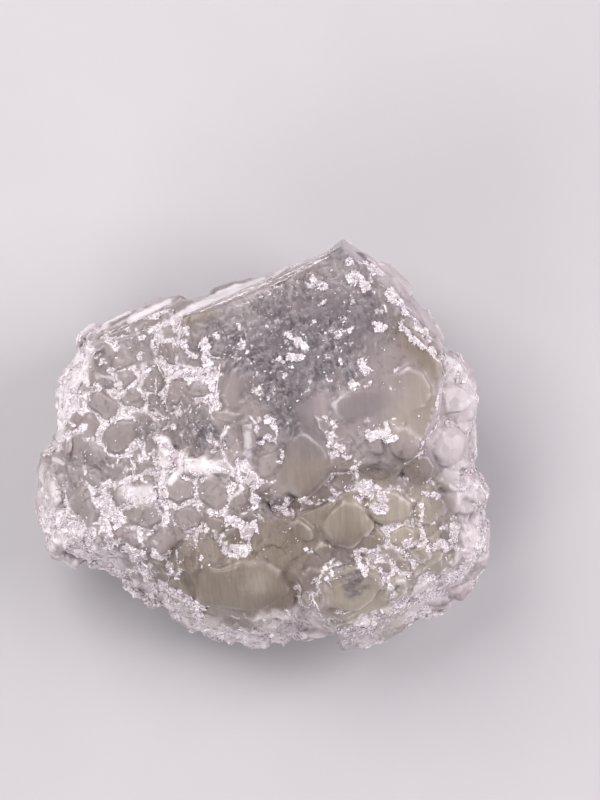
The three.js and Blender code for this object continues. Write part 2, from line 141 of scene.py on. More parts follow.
def relaxed(values, rounds, pull=0.5):
    """Values drawn towards the mean of their neighbours', a number of times."""
    hub, neighbour = both_ways.T
    for _ in range(rounds):
        sums = [np.bincount(hub, column[neighbour], len(valence)) for column in values.T]
        values = values + pull * (np.array(sums) / valence - values.T).T
    return values


print("neighbours a point:", valence.mean().round(2))


# %% [markdown]
# ## Noise that is the same every time
# A script reads Blender's own noise one point at a time, which is slow on so fine a skin, so the
# lesson makes its own with numpy, for all points at once. A number that looks random but depends
# only on a cell's place is a hash. Smooth noise blends the hashes of a cell's eight corners; a
# cell pattern measures the distance to the nearest scattered seeds.

# %% Hash, smooth noise and ramp
def scatter(cells, seed):
    """A number from 0 to 1 for each whole-number cell, by mixing the bits of its coordinates."""
    x, y, z = (cells[:, i].astype(np.uint64) & 0xFFFFFFFF for i in range(3))
    mixed = (x * 0x8DA6B343 + y * 0xD8163841 + z * 0xCB1AB31F + seed * 0x9E3779B1) & 0xFFFFFFFF
    mixed ^= mixed >> 15
    mixed = (mixed * 0x2C1B3C6D) & 0xFFFFFFFF
    mixed ^= mixed >> 12
    mixed = (mixed * 0x297A2D39) & 0xFFFFFFFF
    mixed ^= mixed >> 15
    return mixed / 0xFFFFFFFF


def lattice_noise(points, size, seed):
    """Smooth noise from 0 to 1, one value a point, with lumps of the given size."""
    cell = points / size
    base = np.floor(cell).astype(np.int64)
    part = cell - base
    part = part * part * (3 - 2 * part)
    total = np.zeros(len(points))
    for corner in np.ndindex(2, 2, 2):
        share = np.prod(np.where(np.array(corner) == 1, part, 1 - part), axis=1)
        total += share * scatter(base + corner, seed)
    return total


def ramp(value, low, high):
    """A smooth step from 0 at low to 1 at high; high may be the smaller one."""
    share = np.clip((value - low) / (high - low), 0, 1)
    return share * share * (3 - 2 * share)


# %% [markdown]
# ## Where the sugar grows
# Two things place the sugar. The thick crusts are laid out as strokes, each a line with a width,
# as one would dab them with a brush. The thin crust follows from the shape: it fills the veins
# between pads and leaves the pads' tops bare. Three more tables say where a face is smooth, with
# no sugar; etched dull, with fine pits and flakes; or a clean growth plane that throws the light
# straight back. A painted image could say all this too, but strokes in millimetres can be read,
# and moved one by one.

# %% Strokes of thick sugar
# [x, y, x, y, half width, strength]: a stroke's two ends seen from above, in millimetres.
SUGAR = [
    # ridge and peak
    [0, 19.2, 4.5, 21.7, 0.21, 0.5], [4.5, 21.7, 8, 23.6, 0.14, 0.6], [6.1, 21.9, 8.2, 22.9, 0.15, 0.9],
    [9.8, 21.2, 10.8, 20.6, 0.3, 0.7], [10.6, 19.8, 12.2, 18, 0.6, 0.9], [12, 20.9, 13.8, 20, 0.4, 0.7],
    [14.9, 17.6, 16.7, 15.4, 0.4, 0.75], [16, 14, 19.6, 10.7, 0.15, 1], [20.8, 10.3, 22.9, 8.1, 0.5, 0.7],
    [17.1, 14.7, 19, 13, 0.3, 0.5],
    # main face
    [5.9, 19.4, 7.4, 18.1, 0.4, 1], [7, 16.7, 7, 16.7, 0.23, 1], [5.9, 14.6, 5.9, 14.6, 0.23, 0.8],
    [3.3, 12.4, 4.8, 11.6, 0.5, 0.85], [2.1, 10.2, 4.5, 10.3, 0.4, 0.75],
    [11.5, 10.2, 12.2, 8.6, 0.35, 0.65], [10.6, 6.9, 12.3, 7, 0.4, 0.8],
    [13.4, 13.5, 14.3, 13.4, 0.4, 0.9], [9.2, 13.7, 10.1, 13.3, 0.29, 0.5], [7, 17.3, 8, 14.9, 0.23, 0.4],
    [-0.5, 7.3, 0, 5.5, 0.4, 0.5],
    # crystal behind
    [-20.2, 12.8, -18.5, 13.7, 0.2, 0.6], [-13.1, 14.7, -10.1, 15.8, 0.2, 0.8],
    # upper left
    [-11.7, 13.7, -10.1, 14.9, 0.4, 0.8], [-12.3, 13.7, -11.9, 11.2, 0.26, 0.9],
    [-12, 9.5, -13.6, 8.3, 0.28, 0.8], [-20.5, 11.2, -21.2, 9, 0.28, 0.8],
    [-20.5, 10, -20.2, 7.2, 0.3, 0.8], [-19.4, 6.9, -16.4, 6.2, 0.45, 0.7],
    [-17.5, 8.8, -16.2, 6.9, 0.26, 0.9], [-18.1, 12.8, -16.7, 11.4, 0.5, 0.7],
    [-9, 11.7, -7.5, 10.4, 0.4, 0.85], [-10.1, 8.8, -5.6, 8.3, 0.45, 0.8],
    [-7.7, 7.9, -5.6, 7.4, 0.35, 0.75], [-6, 11.4, -5.8, 9.3, 0.3, 0.9], [-5.8, 9.3, -5.4, 6.5, 0.25, 0.9],
    [-5.6, 6.5, -5.2, 4.6, 0.4, 0.9], [-13.8, 10.4, -13.3, 8.8, 0.4, 0.7],
    [-12.9, 4.1, -10.1, 2.2, 0.6, 0.5], [-15.5, 13.7, -13.6, 12.6, 0.4, 0.6],
    [-6.6, 12.1, -5.4, 12.8, 0.4, 0.7], [-21, 12.6, -19.4, 13.4, 0.35, 0.6],
    [-10.4, 14.4, -8.4, 13.2, 0.45, 0.9], [-20.4, 11.8, -18.2, 9.6, 0.4, 0.8],
    # left rim
    [-23.2, 7.9, -22.1, 5.5, 0.7, 1], [-23, 5.5, -22.3, 3.2, 0.5, 0.9],
    [-21.9, 8.8, -20.8, 10.2, 0.4, 0.6], [-21.8, 4.6, -20.2, 5.5, 0.5, 0.7],
    [-23.9, 0.8, -20.2, 2.2, 0.6, 0.7], [-25.6, -0.6, -23.2, 0.1, 0.5, 0.7],
    # middle left
    [-11.6, 0.8, -10.3, -1.3, 0.6, 1], [-12, -1.5, -10.1, -2.7, 0.5, 0.9],
    [-8.7, -1.6, -4.2, -2.7, 0.35, 0.8], [-18.5, -4.9, -15.7, -3.9, 0.5, 0.9],
    [-15.7, -3.9, -12.2, -2.9, 0.4, 0.9], [-15.5, -5.3, -12.9, -6, 0.6, 1], [-12, -3.2, -11, -5.3, 0.5, 1],
    [-11.5, -5.3, -10.8, -9, 0.4, 0.9], [-18.3, -6.2, -16.4, -8.6, 0.8, 0.9],
    [-16.4, -7.2, -14.3, -6.7, 0.23, 0.6], [-2.9, -2.7, -1.9, -3.9, 0.4, 0.8],
    [-1.3, -2.5, -0.5, -4.3, 0.6, 1], [0, 0.7, 1.6, 1.1, 0.4, 0.9], [0.9, 3.4, 1.8, 1.6, 0.35, 0.8],
    [2.5, -0.4, 2.5, -1.3, 0.19, 0.8], [-7.7, -2.7, -6.6, -3.6, 0.4, 0.8],
    [-6.8, -7, -3.5, -8.1, 0.3, 0.5], [-3.1, -8.1, -1.4, -10, 0.5, 1], [-0.8, -6, -0.5, -9.3, 0.4, 0.7],
    [-7.7, -8.9, -4.9, -9.7, 0.4, 0.6], [-4.7, -10.2, -2.8, -12.6, 0.6, 0.5],
    [-16.7, -10.9, -13.6, -12.8, 0.6, 0.6], [-18.1, -1.8, -14.3, -3.2, 0.4, 0.4],
    # lower left
    [-23.9, -8.8, -20.2, -10.4, 1.1, 0.9], [-22.5, -11.6, -19.5, -12.3, 0.7, 0.9],
    [-25.8, -5.3, -24.4, -6, 0.4, 0.7], [-25.6, -8.6, -24.6, -10.9, 0.4, 0.6],
    [-19.6, -13.8, -16, -16, 0.9, 0.8], [-16.2, -16.6, -12.6, -18.8, 0.9, 0.8],
    [-11.3, -17.3, -9.6, -20.1, 0.7, 0.8], [-9.4, -17, -7, -18.7, 0.4, 0.9],
    [-7.7, -18.7, -6.8, -20.3, 0.4, 0.9], [-12, -19.4, -10.1, -21.5, 0.5, 0.7],
    [-7.3, -21.7, 4.5, -22.7, 0.8, 0.5], [-17.9, -9.5, -17.4, -13, 0.5, 0.8],
    [-14.6, -12.9, -12.2, -17, 0.5, 0.8], [-12.6, -12, -9.4, -14.6, 0.35, 0.7],
    [-15.6, -14.5, -13, -14, 0.35, 0.7], [-11.5, -16.2, -8.6, -17.6, 0.5, 0.8],
    # middle and right
    [1.8, -6.9, 2.8, -7.4, 0.5, 0.9], [2.8, -6.2, 8.2, -6.2, 0.28, 0.6], [3.8, -6.7, 4.5, -7.4, 0.23, 0.7],
    [8, 1.3, 8.7, -1.1, 0.4, 0.65], [8.9, 0.1, 10.3, -1.3, 0.4, 0.6], [12.2, 1.5, 15.3, 1.1, 0.4, 0.75],
    [8, 3.9, 9.2, 2.7, 0.23, 0.4], [11.7, -4.6, 14.3, -5.8, 0.8, 0.8], [12.2, -6.2, 14.3, -7.4, 0.5, 0.8],
    [11.2, -12.3, 11.9, -14.4, 0.4, 0.9], [12, -11.9, 14.1, -12.8, 0.4, 0.7],
    [6.6, -15, 8.2, -15, 0.4, 0.7], [13.6, -13.7, 14.3, -15.8, 0.28, 0.9],
    [14.3, -15.8, 15.5, -17, 0.28, 0.8], [14.8, -12.8, 15.7, -14.7, 0.23, 0.6],
    [17.1, -10.9, 22.8, -11.9, 0.6, 0.6], [19, -5.5, 20.7, -5.8, 0.28, 0.7],
    [18.5, -6.2, 18.8, -10.4, 0.16, 0.7], [19.7, -8.1, 21.6, -10, 0.23, 0.5],
    [11.2, -1.6, 10.7, -5, 0.26, 0.9],
    # right rim
    [24.4, -13.3, 22.3, -15.6, 0.6, 0.8], [20.9, -16.8, 16.2, -18.7, 0.7, 0.7],
    [13.8, -19.4, 10.3, -22.7, 0.6, 0.8], [25.4, -6.2, 26.3, -9.7, 0.5, 0.7],
    [25.1, 0.8, 24.4, -1.8, 0.23, 0.6], [25, 2.4, 25.2, 6, 0.3, 0.7], [22.4, 9.6, 24.6, 6.6, 0.2, 0.6],
    [21.4, 2.8, 24.2, 2, 0.3, 0.7], [22.4, -4, 23.8, -4.6, 0.4, 0.8], [22.2, -9.4, 22.4, -11.2, 0.5, 0.8],
]
print("strokes of thick sugar:", len(SUGAR))

# %% Smooth, etched and gleaming places
# Smooth pads, with no sugar.
BARE = [
    [-5, -17, 0.5, -15.5, 3.2, 1], [6.5, -9.2, 10, -8.6, 2.6, 1], [10.6, -17, 13, -17.2, 2.2, 0.8],
    [5, -4.6, 5, 1.6, 2.8, 1], [17.6, 3, 18.6, 9, 2.2, 1], [9, 4.6, 14.2, 4.8, 1.6, 0.9],
    [11.6, 12.6, 12.6, 14.2, 2, 0.8], [21.2, -1.4, 21.8, 0.8, 2.4, 0.9], [21.4, 6.4, 24.4, 3.6, 2.2, 0.9],
    [-2.9, 4.4, -2.8, 8.8, 1.5, 0.9], [1.6, 1.4, 0.8, 4.4, 1, 0.8], [8.6, 22.6, 11.4, 22, 1.2, 0.9],
    [-21.2, 13.4, -11, 16.4, 0.9, 0.9], [-8.4, -2, -4, -2.5, 1, 0.8], [-11.2, 0.6, -11, -2.4, 0.8, 0.8],
    [-1.7, 2.2, -1.7, -0.2, 0.7, 0.8], [16, -7.2, 19.8, -8.4, 1.8, 0.6], [12.8, 22.6, 17.6, 18.2, 1.8, 1],
    [18.4, 16.4, 21.8, 12, 1.4, 0.8], [-9.6, 15.2, 0, 19.1, 0.8, 1], [21.4, 10.4, 25.2, 6.6, 1.2, 0.8],
    [22.6, -6.2, 24.8, -8.2, 1.4, 0.85], [23.6, -13.4, 24.8, -13.6, 1.2, 0.85],
    [20.6, -13.9, 21.9, -12.6, 0.9, 0.8],
]

# The dark face and a few duller patches.
ETCHED = [
    [-6, 12, 6, 18, 2.6, 0.8], [-1, 11, 9, 13, 3.4, 1], [2, 8, 9, 9, 2.6, 1], [9, 19, 15, 15, 3, 0.7],
    [-0.5, 6, 3, 3, 1.6, 0.8], [-10, 2.6, -6, 1, 1.8, 0.9], [-13, 2, -8, 4, 1.6, 0.6],
    [-2, -7.4, 0.6, -6.8, 1.6, 0.8], [9.5, -13.4, 11, -16.4, 1.4, 0.9], [12.6, -2, 15.4, -1, 1.4, 0.2],
    [-16.4, -12.4, -13, -11.4, 1.6, 0.6], [-22, -2, -18, -3.4, 2, 0.5],
]

# Clean growth planes that throw the light straight back, painted brilliant white: a painted reflection.
PAINTED_GLEAM_STROKES = [
    # ridge
    [-10.2, 14.9, -8.3, 15.9, 0.3, 1], [-8.3, 15.9, -5.4, 17.3, 0.45, 1], [-5.4, 17.3, -2.5, 18.5, 0.5, 1],
    [-2.5, 18.5, 0.2, 19.5, 0.3, 1], [1.6, 20.1, 4.7, 21.7, 0.16, 0.9], [6.3, 22.3, 8.2, 23.1, 0.13, 0.9],
    [4, 20.2, 7, 21.4, 0.11, 0.8],
    # crystal behind
    [-19, 14.1, -15.5, 15.7, 0.24, 1], [-15.3, 14.6, -10.8, 16.9, 0.36, 1],
    [-21.4, 12.9, -19.2, 14.2, 0.14, 0.9],
    # upper left
    [-20.4, 11, -20.2, 7.6, 0.28, 0.9], [-13.6, 9.3, -13.7, 7.6, 0.3, 0.7],
    [-11.7, 14.1, -11.2, 12.2, 0.22, 0.8], [-9.1, 13.7, -9.4, 12.4, 0.2, 0.8],
    [-12.2, 11.6, -12, 9.7, 0.14, 0.8], [-6.2, 11.2, -6.3, 8.6, 0.13, 0.9],
    [-5.2, 9.2, -5.3, 5.4, 0.12, 0.9], [-9.3, 9.6, -7.4, 8.9, 0.14, 0.8], [-19, 8.2, -16.9, 7.9, 0.2, 0.7],
    [-16.9, 8.6, -16, 6.6, 0.16, 0.8],
    # left rim
    [-23.2, 7, -22.7, 3.6, 0.6, 0.9], [-24.2, -1.5, -23, -2, 0.3, 0.8], [-23, 2.2, -24.2, 0.2, 0.4, 0.7],
    # middle left
    [-15.2, -5, -13.2, -5.4, 0.5, 0.7], [-11.3, 0.9, -10.9, -0.7, 0.45, 0.95],
    [-11.4, -2, -11.1, -3.2, 0.36, 0.95], [-10.4, -4, -9.2, -2.6, 0.4, 0.9],
    [-8.7, -1.5, -4.3, -1.7, 0.13, 0.95], [-8.4, -2.1, -4.6, -2.3, 0.36, 0.5],
    [-7.6, -2.8, -5.2, -2.8, 0.12, 0.8], [-3.7, 2.3, -4.45, 1.2, 0.16, 1],
    [-4.45, 1.2, -4.45, -0.2, 0.15, 0.9], [-4.45, -0.2, -3.9, -1.5, 0.15, 0.9],
    [-3.9, -1.7, -2.9, -3, 0.16, 0.9], [-1.4, 1.6, -1.4, -0.9, 0.36, 0.55],
    [-2.5, -2.6, -2.6, -3.9, 0.16, 0.9], [-2.6, -3.9, -2, -4.8, 0.2, 0.9], [-2, -4.8, -3.6, -6, 0.2, 0.8],
    # right rim
    [21.8, 10.1, 23, 9.1, 0.45, 1], [23.9, 7.8, 25, 6.8, 0.35, 0.9], [23.4, 5.2, 25, 4.6, 0.6, 0.6],
    [25.2, 2, 25.1, -1.9, 0.2, 1], [24.8, -1.7, 23.4, -2.2, 0.22, 0.8], [20.9, 8.3, 20.2, 4.2, 0.12, 0.9],
    [20.2, 4.2, 20.4, 2.6, 0.12, 0.9], [24.5, -3.6, 26.6, -5.6, 0.14, 0.9],
    [26.6, -5.6, 26.3, -7.8, 0.14, 0.9], [22, -4.5, 23.2, -5.4, 0.24, 0.8],
    [23.5, -12, 25.2, -12.4, 0.16, 0.8], [22.6, -13.5, 22.9, -12.3, 0.12, 0.8],
]
print("clean growth planes:", len(PAINTED_GLEAM_STROKES))


# %% From strokes to numbers
def strokes(points, table, soft=0.5):
    """How strongly a table's strokes cover each point; soft is the share of a stroke's half
    width over which it fades, inwards and outwards."""
    strongest = np.zeros(len(points))
    flat = points[:, :2] / MM
    for *ends, reach, strength in table:
        start, run = np.array(ends[:2]), np.array(ends[2:]) - ends[:2]
        share = np.clip((flat - start) @ run / max(run @ run, 1e-9), 0, 1)
        gap = np.linalg.norm(flat - start - share[:, None] * run, axis=1) / reach
        strongest = np.maximum(strongest, strength * ramp(gap, 1 + soft, 1 - soft))
    return strongest


# %% [markdown]
# ## Bent pads and the veins between them
# The solid's pads have straight outlines, and those of the real ones wander. Noise pushes the
# skin about sideways, in small bends and wide ones, and spares the smooth places the small ones.
# The skin is then compared with two averaged copies. A point under the first, so smooth that its
# pads are gone, lies in a vein; one under the second, with only its sharp edges gone, in a crease.

# %% Bend and round the pads
BEND_SIZE = 1.6 * MM
BEND = 0.9 * MM  # how far noise of that size bends the pads' outlines, seen from above
BEND_SPARED = 0.85  # share of these bends that a smooth place is spared
WIDE_BEND_SIZE = 4.2 * MM
WIDE_BEND = 1.6 * MM
ROUNDING = 1  # rounds of averaging that soften the pads' edges
VEIN_ROUNDS = 42  # rounds that smooth the pads away
CREASE_ROUNDS = 6  # rounds that smooth away the sharp edges alone

points, normals = mesh_arrays(skin)
bends = np.zeros_like(points)
faces_up = ramp(normals[:, 2], 0.1, 0.6)
ruffled = 1 - BEND_SPARED * strokes(points, BARE, soft=0.3)
for axis in (0, 1):
    small = lattice_noise(points, BEND_SIZE, seed=81 + axis) - 0.5
    wide = lattice_noise(points, WIDE_BEND_SIZE, seed=83 + axis) - 0.5
    bends[:, axis] = BEND * faces_up * ruffled * small
    bends[:, axis] += WIDE_BEND * faces_up * wide
points = relaxed(points + bends, ROUNDING)
smooth_copy = relaxed(points, VEIN_ROUNDS)
depth = np.einsum("ij,ij->i", points - smooth_copy, normals) / MM
crease = np.einsum("ij,ij->i", points - relaxed(points, CREASE_ROUNDS), normals) / MM
print("skin to smooth copy, mm:", np.percentile(depth, [5, 25, 50, 75, 95]).round(3))
print("skin to close copy, mm:", np.percentile(crease, [5, 25, 50, 75, 95]).round(3))

# %% [markdown]
# ## One mask for all the sugar
# Strokes, veins, creases, crumbs on the flanks and loose flakes on the etched face each give a
# mask from 0 to 1, and the strongest wins at each point. Torn noise frays their edges, so that
# no stroke shows as a stroke. Faces that look down are the broken back, and nothing grew there.

# %% Mask the sugar
WANDER = 0.5 * MM  # how far noise pushes the strokes' edges about
WANDER_SIZE = 0.8 * MM
BROAD_SIZE = 2.6 * MM  # patches with more or less sugar
TORN_SIZE = 0.7 * MM
TORN_DETAIL = 0.35 * MM
VEIN_DEPTH = (0.02, -0.13)  # millimetres off the smooth copy where sugar starts and is full
CREASE_DEPTH = (-0.01, -0.05)
VEIN_SUGAR = 0.61  # how full of sugar each kind of place is at most
CREASE_SUGAR = 0.45
CRUMB_SUGAR = 0.8
FLAKE_SUGAR = 0.45
HALF_SIZE = [27, 24.2]  # half the specimen's width and length, in millimetres

pushes = [lattice_noise(points, WANDER_SIZE, seed) - 0.5 for seed in (51, 52, 53)]
wandering = points + 2 * WANDER * np.stack(pushes, axis=1)
broad = lattice_noise(points, BROAD_SIZE, seed=3)
torn = 0.6 * lattice_noise(points, TORN_SIZE, seed=4) + 0.4 * lattice_noise(points, TORN_DETAIL, seed=5)

upward = ramp(normals[:, 2], -0.1, 0.25)
outward = np.linalg.norm(points[:, :2] / MM / HALF_SIZE, axis=1)
broken = np.clip(ramp(normals[:, 2], -0.38, -0.5) + ramp(points[:, 2] / MM, 1.5, 0.5), 0, 1)
bare = strokes(wandering, BARE, soft=0.3)
etched = strokes(wandering, ETCHED, soft=0.5) * upward
# A painted reflection: the gleaming planes are painted white, with no sugar or etching on them.
painted_gleam = strokes(points, PAINTED_GLEAM_STROKES, soft=0.25)

dabs = strokes(wandering, SUGAR, soft=0.35)
thick = dabs * (0.45 + 0.55 * ramp(torn, 0.34, 0.5)) * upward
veins = ramp(depth, *VEIN_DEPTH) * ramp(0.65 * broad + 0.35 * torn, 0.36, 0.6)
veins *= (1 - 0.8 * bare) * (1 - 0.7 * etched)
creases = ramp(crease, *CREASE_DEPTH) * ramp(broad, 0.3, 0.65) * (1 - 0.6 * bare)
flank = ramp(outward, 0.88, 1.0)
crumbs = CRUMB_SUGAR * flank * ramp(torn, 0.42, 0.58) * ramp(broad, 0.35, 0.6) * (1 - bare)
flecks = 0.5 * lattice_noise(wandering, TORN_SIZE, seed=6) + 0.5 * torn
flakes = etched * ramp(flecks, 0.58, 0.68)
sugar = np.maximum.reduce([
    thick, VEIN_SUGAR * veins, CREASE_SUGAR * creases, crumbs, FLAKE_SUGAR * flakes,
])
sugar = np.clip(sugar * (1 - broken) * (1 - painted_gleam), 0, 1)
print(f"sugar covers {sugar.mean():.0%} of the skin")

# %% [markdown]
# ## Finer relief
# The solid's pads are the large ones. Real faces also carry flat padlets of a millimetre or two
# that overlap like fish scales, slow swells, and a grit where the crust is thick. A cell pattern
# gives the padlets: each cell is a flat step with its own height. With a slope of its own for
# each cell it gives larger facets, and stretched along the crystals' edges it gives the flakes of
# the etched face. Every point moves along its normal, and then the whole skin is fitted to the
# solid's box, so that its size is exact.

# %% Cell patterns on points
def cell_pattern(points, size, seed):
    """For each point, the nearest scattered seed's own number, how far the point is from the
    border of that seed's cell and how far along a random slope it is from the seed, both in
    shares of the size."""
    cell = points / size
    base = np.floor(cell).astype(np.int64)
    nearest, second, number, climb = (np.full(len(points), fill) for fill in (9.0, 9.0, 0.0, 0.0))
    for step in np.ndindex(3, 3, 3):
        at = base + np.array(step) - 1
        place = np.stack([scatter(at, seed + k) for k in range(3)], axis=1)
        gap = np.linalg.norm(at + place - cell, axis=1)
        second = np.where(gap < nearest, nearest, np.minimum(second, gap))
        number = np.where(gap < nearest, scatter(at, seed + 3), number)
        slope = np.stack([scatter(at, seed + 4 + k) - 0.5 for k in range(3)], axis=1)
        climb = np.where(gap < nearest, ((at + place - cell) * slope).sum(axis=1), climb)
        nearest = np.minimum(nearest, gap)
    return number, second - nearest, climb


# %% Grow the relief
PADLET_SIZE = 1.7 * MM
PADLET_RISE = 0.08 * MM
SWELL_SIZE = 5 * MM
SWELL_RISE = 0.1 * MM
FACET_SIZE = 3.0 * MM
FACET_RISE = 0.3 * MM
CHUNK_SIZE = 0.7 * MM
GRIT_RISE = 0.16 * MM
FLAKE_WIDTH = 0.75 * MM
FLAKE_LENGTH = 2.6  # flakes are this much longer along the crystals' edges than across them
ETCH_RISE = 0.24 * MM
CRYSTAL_TURN = math.radians(26)  # the heading of the main crystals' edges

number, border, _ = cell_pattern(points, PADLET_SIZE, seed=21)
padlets = ramp(border, 0.0, 0.12) * (0.2 + 0.8 * number)
_, _, tilts = cell_pattern(points, FACET_SIZE, seed=91)
chunks, _, _ = cell_pattern(points, CHUNK_SIZE, seed=61)
crystal_edge = np.array([math.cos(CRYSTAL_TURN), math.sin(CRYSTAL_TURN), 0])
squeezed = points - (1 - 1 / FLAKE_LENGTH) * (points @ crystal_edge)[:, None] * crystal_edge
steps, _, _ = cell_pattern(squeezed, FLAKE_WIDTH, seed=71)
swells = lattice_noise(points, SWELL_SIZE, seed=31) - 0.5
calm = 1 - np.clip(bare + broken, 0, 1)
rise = PADLET_RISE * padlets * calm * (1 - sugar) + SWELL_RISE * swells * calm
rise += FACET_RISE * tilts * (1 - 0.95 * bare) * (1 - broken)
rise += GRIT_RISE * sugar * chunks + ETCH_RISE * etched * (1 - 0.6 * sugar) * (steps + torn - 1)
print("relief, mm:", np.percentile(rise / MM, [5, 50, 95]).round(3))


# %% Move the skin and fit it to the box
REST_LAYER = 0.02 * MM  # points this low lie on the rest face and stay put
BOX_LOW, BOX_HIGH = (np.array(corner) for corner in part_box("fluorite_specimen"))

resting = points[:, 2] < REST_LAYER
rise[resting] = 0
grown = points + normals * rise[:, None]
grown[:, 2] = np.where(resting, points[:, 2], np.maximum(grown[:, 2], 0))
low, high = grown.min(axis=0), grown.max(axis=0)
grown = BOX_LOW + (grown - low) * (BOX_HIGH - BOX_LOW) / (high - low)
skin.vertices.foreach_set("co", grown.ravel())
skin.update()
print("skin box, mm:", ((grown.max(axis=0) - grown.min(axis=0)) / MM).round(2))

# %% [markdown]
# ## Tints in the crystal
# The same crystal is olive-beige where it is thickest, straw-coloured at the lower right and smoky
# violet in the etched face. Such zones are part of the growth, so they are laid out like the sugar,
# as soft strokes. The rims and upright faces are painted almost colourless and pale: partly their
# own paler colour, partly a painted glow of light through them and painted light on faces turned
# to the lamps. Edges catch the light and clefts lose it, which a render of clear crystal shows only
# weakly, so two masks paint it in: a painted highlight for points that stand out from the mean of
# their neighbours, and a painted shade for those that lie under it. Each mask is kept on the skin
# as an attribute that the material reads.

# %% Strokes of the tints
OLIVE = [
    [-6, -15.5, 2, -12, 5.5, 1], [1, -18, 4, -10, 3.5, 1], [6, -9, 12, -8.6, 3.6, 1],
    [5.4, -4.6, 5.2, -2, 2.6, 0.8], [11.5, 17, 15.5, 13.5, 0.9, 0.7], [15.5, 13.5, 20.4, 9, 1.3, 1],
    [17, 9, 18, 3, 2, 0.25], [14, -8, 19, -9, 3.4, 0.7], [9, -14, 13, -18, 3.6, 0.6],
    [-6, 15.6, -9, 14.2, 0.8, 0.6], [16.4, -1.6, 19.4, -4.4, 1.6, 0.6], [8, -2.6, 14, -3.6, 1.5, 0.6],
]
STRAW = [
    [13, -7, 18, -8, 2.6, 0.8], [16, -10.6, 20, -13, 2, 0.7], [11, -17, 14, -19, 3, 0.95],
    [17, 3.5, 18.6, 5.5, 2.6, 0.5], [15, -16, 18, -15, 1.6, 0.5], [7, -9.5, 9, -8, 1.8, 0.3],
    [-4.6, -17, -1, -15.4, 2.6, 0.25],
]
VIOLET = [
    [8.6, 22.8, 11.4, 21.6, 1.2, 0.9], [2, 11, 9, 14, 4.5, 0.9], [3.2, 3, 4, 9, 2.2, 0.9],
    [-2, 13, 2, 15, 3, 0.5], [5, 0.5, 5, 2, 1.8, 0.6], [10, 4, 13, 5, 1.6, 0.5],
    [-2, -22.6, 1, -22.4, 1.4, 0.5],
]
# Rims and faces painted pale: a painted glow of light through them and painted light from the lamps,
# partly the rims' own paler colour.
PAINTED_GLOW_STROKES = [
    [21.6, 8.4, 25.4, 3, 2.6, 0.7], [21.4, 1, 24.6, -2.6, 2.4, 0.55], [24.4, -5, 26, -12, 2.2, 0.7],
    [-26, -4, -24.6, -11, 2, 0.6], [-22, -14, -6, -22, 2.2, 0.7], [-6, -23, 8, -23, 1.2, 0.85],
    [24, -15, 11, -22.6, 1.8, 0.6], [-24, 3, -21, 11, 1.6, 1], [20, 15, 15, 21, 1.4, 0.4],
    [0.5, -20.6, 5.6, -20.4, 1.6, 0.7], [23.4, 5.8, 25.2, 4, 1.4, 0.6], [-24, -11, -18, -14, 2.2, 1],
    [-8.8, -1.8, -4, -2.6, 1, 0.9], [-11.2, 0.6, -11, -2.4, 0.8, 0.9], [-1.7, 2.2, -1.7, -0.2, 0.6, 0.9],
    [-15.6, -5.2, -12.6, -5.9, 1, 0.7], [-21.6, 13.2, -19, 14.8, 1.4, 1],
    [16, 2.8, 14.4, -0.3, 0.32, 0.6], [17.6, -0.4, 16.8, -1.8, 0.26, 0.6],
]
print("strokes of tint:", sum(len(table) for table in (OLIVE, STRAW, VIOLET, PAINTED_GLOW_STROKES)))

# %% Masks for the material
EDGE_ROUNDS = 3  # rounds of averaging that give the mean nearby
# Painted highlight on edges and painted shade in clefts: how far over or under the mean nearby they start
# and are full, and how strong they are at most.
CREST = (0.012, 0.035)  # millimetres over it where an edge starts to whiten and is white
TROUGH = (-0.012, -0.035)  # and under it, for a cleft that darkens
CREST_MOST = 0.65
TROUGH_MOST = 0.45
# Upright faces get the same painted glow and painted light, most where they stand straight up.
UPRIGHT_PAINTED_GLOW = 0.5  # how pale the upright faces are
TOP_LEVEL = (24.2, 23.4)  # millimetres up where the highest pads lose their paleness

_, new_normals = mesh_arrays(skin)
edges = np.einsum("ij,ij->i", grown - relaxed(grown, EDGE_ROUNDS), new_normals) / MM
print("over and under the mean nearby, mm:", np.percentile(edges, [2, 10, 50, 90, 98]).round(4))

rims = ramp(outward, 0.78, 0.9)
olive = strokes(wandering, OLIVE, soft=0.8)
# Where edges get a painted highlight: bare pads and rims, not the etched face, less in the olive zone.
painted_highlight_places = ramp(broad, 0.36, 0.56) * np.clip(bare + rims, 0, 1) * (1 - etched) * (1 - 0.65 * olive)
painted_glow = strokes(wandering, PAINTED_GLOW_STROKES, soft=0.4) * ramp(points[:, 2] / MM, *TOP_LEVEL)
masks = {
    "sugar": sugar,
    "etched": etched * (1 - painted_gleam),
    "olive": olive,
    "straw": strokes(wandering, STRAW, soft=0.8),
    "violet": strokes(wandering, VIOLET, soft=0.8),
    "smooth": bare,
    # Painted highlight on edges and gleaming planes; painted shade in clefts.
    "painted_highlight": np.maximum(CREST_MOST * ramp(edges, *CREST) * painted_highlight_places, painted_gleam),
    "painted_shade": TROUGH_MOST * ramp(edges, *TROUGH) * (1 - sugar) * (1 - painted_gleam),
    # Painted glow and painted light on rims and upright faces, partly their own paler colour.
    "pale": np.maximum(painted_glow, UPRIGHT_PAINTED_GLOW * ramp(normals[:, 2], 0.5, 0.1)),
}
for name, values in masks.items():
    skin.attributes.new(name, "FLOAT", "POINT").data.foreach_set("value", values.astype(np.float32))
    print(f"{name}: {values.mean():.0%}")

# %% [markdown]
# ## Spend triangles where there is shape
# The even grid puts as many faces on the flat rest face as on the finest crust. Decimating by
# edge collapse merges points where the surface is flattest first, so the detail stays and the
# piece becomes light enough to reuse. It keeps the masks, as it blends them for merged points.

# %% Thin out the skin
SKIN_TRIANGLES = 190000

